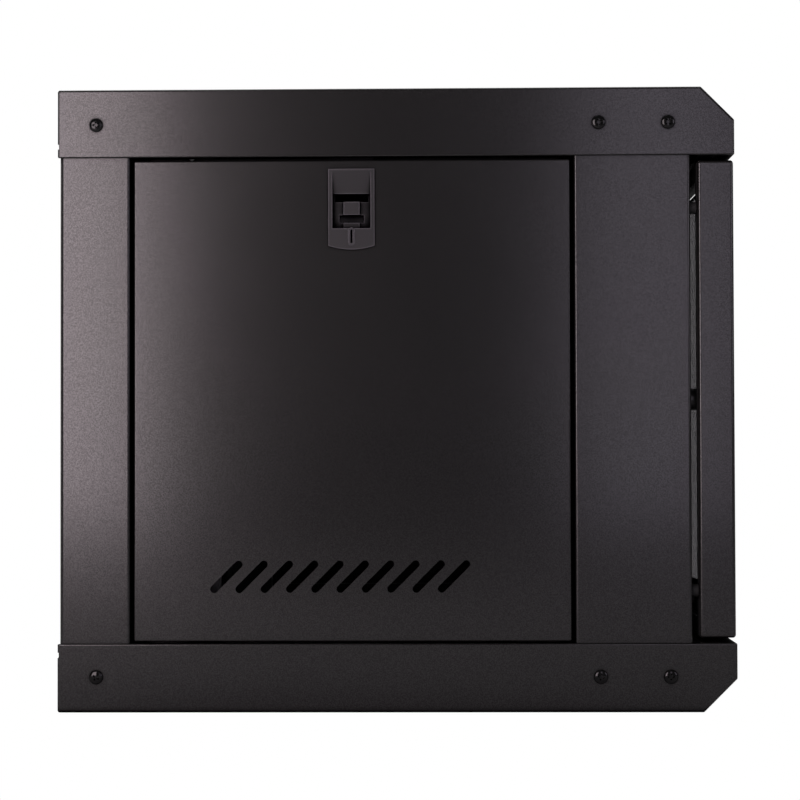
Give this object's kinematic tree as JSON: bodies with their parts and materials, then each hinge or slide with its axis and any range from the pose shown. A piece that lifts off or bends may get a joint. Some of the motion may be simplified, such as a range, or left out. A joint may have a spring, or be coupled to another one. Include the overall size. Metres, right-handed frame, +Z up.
{
  "type": "wall mount network cabinet",
  "caption": "Black sheet-metal wall mount network cabinet with a swinging glass door, latched tilt-off side panels, vented top and adjustable rack rails.",
  "frame": {"origin": "middle of the footprint between the cover faces, on the outer face of the bottom cover", "axes": "+Z up; +Y to the wall, so the glass door faces -Y; +X to the right as seen from the front"},
  "size_m": [0.6046, 0.55, 0.506],
  "materials": {
    "powder_coat": "fine-textured black powder coat",
    "rail_coat": "smooth black coat",
    "black_screw": "black oxide, semi-gloss",
    "zinc_steel": "bright zinc plate",
    "spring_steel": "drawn spring steel",
    "chrome_plug": "bright chrome",
    "black_lock": "black, semi-gloss",
    "nylon": "black nylon",
    "latch_plastic": "moulded black plastic, fine grain",
    "tinted_glass": "toughened, grey tint",
    "foam_seal": "closed-cell foam tape",
    "rubber": "black rubber"
  },
  "bodies": {
    "cabinet": {"bottom_cover": "powder_coat", "top_cover": "powder_coat", "bottom_cable_plate": "powder_coat", "top_cable_plate": "powder_coat", "cable_plate_screws": "black_screw", "back_panel": "powder_coat", "back_panel_screws": "black_screw", "cover_screws": "black_screw", "clinch_nuts": "zinc_steel", "lower_bracket_left": "powder_coat", "lower_bracket_right": "powder_coat", "upper_bracket_left": "powder_coat", "upper_bracket_right": "powder_coat", "bracket_screws": "black_screw", "bracket_nuts": "zinc_steel", "hinge_pin_bottom": "zinc_steel", "door_buffers": "rubber", "earth_studs": "zinc_steel", "front_post_left": "powder_coat", "front_post_right": "powder_coat", "rear_post_left": "powder_coat", "rear_post_right": "powder_coat"},
    "door": {"door_frame": "powder_coat", "door_glass": "tinted_glass", "glass_seal": "foam_seal", "glass_clips": "zinc_steel", "glass_clip_nuts": "zinc_steel", "lock_body": "black_lock", "lock_nut": "zinc_steel", "hinge_guide": "zinc_steel", "hinge_spring": "spring_steel", "hinge_bush_top": "nylon", "hinge_bush_bottom": "nylon"},
    "cam": {"lock_plug": "chrome_plug", "lock_cam": "zinc_steel", "lock_cam_screw": "zinc_steel"},
    "top_pin": {"hinge_pin_top": "zinc_steel"},
    "left_panel": {"side_panel_left": "powder_coat", "latch_housing_left": "latch_plastic", "latch_leaf_spring_left": "spring_steel"},
    "left_latch": {"latch_slider_left": "latch_plastic"},
    "right_panel": {"side_panel_right": "powder_coat", "latch_housing_right": "latch_plastic", "latch_leaf_spring_right": "spring_steel"},
    "right_latch": {"latch_slider_right": "latch_plastic"},
    "front_left_rail": {"rack_rail_front_left": "rail_coat", "rail_bolts_front_left": "zinc_steel", "rail_nuts_front_left": "zinc_steel"},
    "front_right_rail": {"rack_rail_front_right": "rail_coat", "rail_bolts_front_right": "zinc_steel", "rail_nuts_front_right": "zinc_steel"},
    "rear_left_rail": {"rack_rail_rear_left": "rail_coat", "rail_bolts_rear_left": "zinc_steel", "rail_nuts_rear_left": "zinc_steel"},
    "rear_right_rail": {"rack_rail_rear_right": "rail_coat", "rail_bolts_rear_right": "zinc_steel", "rail_nuts_rear_right": "zinc_steel"}
  },
  "joints": [
    {"name": "door_swing", "type": "hinge", "parent": "cabinet", "child": "door", "pos_m": [0.287, -0.258, 0.253], "axis": [0, 0, 1], "range_deg": [0, 180]},
    {"name": "lock_turn", "type": "hinge", "parent": "door", "child": "cam", "pos_m": [-0.265, -0.236, 0.253], "axis": [0, 1, 0], "range_deg": [0, 90]},
    {"name": "top_pin_drop", "type": "slide", "parent": "door", "child": "top_pin", "axis": [0, 0, 1], "range_m": [-0.009, 0], "stiffness_N_per_m": 300, "springref_m": 0.004, "deforming": ["hinge_spring"]},
    {"name": "left_panel_tilt", "type": "hinge", "parent": "cabinet", "child": "left_panel", "pos_m": [-0.2988, 0.03555, 0.056], "axis": [0, -1, 0], "range_deg": [0, 30]},
    {"name": "left_latch_slide", "type": "slide", "parent": "left_panel", "child": "left_latch", "axis": [0, 0, 1], "range_m": [0, 0.0035]},
    {"name": "right_panel_tilt", "type": "hinge", "parent": "cabinet", "child": "right_panel", "pos_m": [0.2988, 0.03555, 0.056], "axis": [0, 1, 0], "range_deg": [0, 30]},
    {"name": "right_latch_slide", "type": "slide", "parent": "right_panel", "child": "right_latch", "axis": [0, 0, 1], "range_m": [0, 0.0035]},
    {"name": "front_left_rail_slide", "type": "slide", "parent": "cabinet", "child": "front_left_rail", "axis": [0, 1, 0], "range_m": [0, 0.1]},
    {"name": "front_right_rail_slide", "type": "slide", "parent": "cabinet", "child": "front_right_rail", "axis": [0, 1, 0], "range_m": [0, 0.1]},
    {"name": "rear_left_rail_slide", "type": "slide", "parent": "cabinet", "child": "rear_left_rail", "axis": [0, 1, 0], "range_m": [-0.15, 0]},
    {"name": "rear_right_rail_slide", "type": "slide", "parent": "cabinet", "child": "rear_right_rail", "axis": [0, 1, 0], "range_m": [-0.15, 0]}
  ]
}
